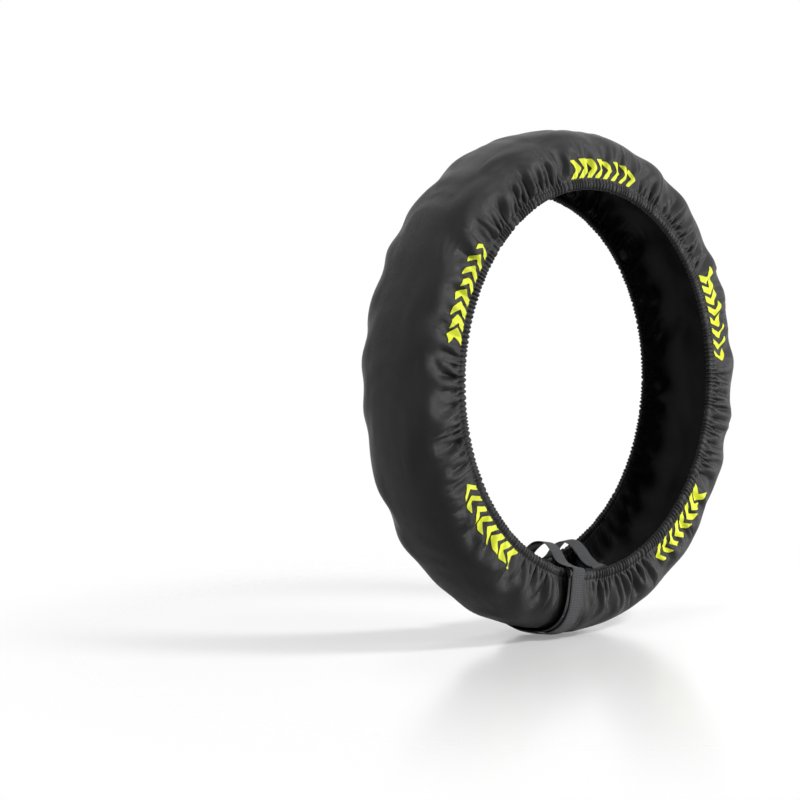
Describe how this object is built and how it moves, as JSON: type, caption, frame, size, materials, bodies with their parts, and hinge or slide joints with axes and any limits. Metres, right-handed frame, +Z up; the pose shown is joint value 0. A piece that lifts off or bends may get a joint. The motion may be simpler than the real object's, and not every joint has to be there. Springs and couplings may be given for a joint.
{
  "type": "motorcycle tyre cover",
  "caption": "Gathered black cloth cover wrapped round a motorcycle tyre, elastic in both hems, ends lapped and held by webbing straps over the rim.",
  "frame": {"origin": "centre of the wheel that the cover is worn on, midway between the cover's two sides", "axes": "+Z up, +Y along the wheel's axle towards the back of the cover, -Y the front with the print, +X to the right seen from the front"},
  "size_m": [0.6927, 0.1394, 0.6985],
  "materials": {
    "cloth": "black plain-woven polyamide cloth with a faint sheen",
    "webbing": "dark grey ribbed webbing",
    "elastic": "black braided elastic",
    "closure_tape": "black hook and loop tape",
    "print": "opaque fluorescent yellow screen print",
    "thread": "black sewing thread"
  },
  "bodies": {
    "root": {"sleeve": "cloth", "front_elastic": "elastic", "back_elastic": "elastic", "outer_strap": "webbing", "outer_strap_loop_tape": "closure_tape", "outer_strap_hook_tape": "closure_tape", "inner_strap": "webbing", "inner_strap_loop_tape": "closure_tape", "inner_strap_hook_tape": "closure_tape"}
  },
  "joints": []
}
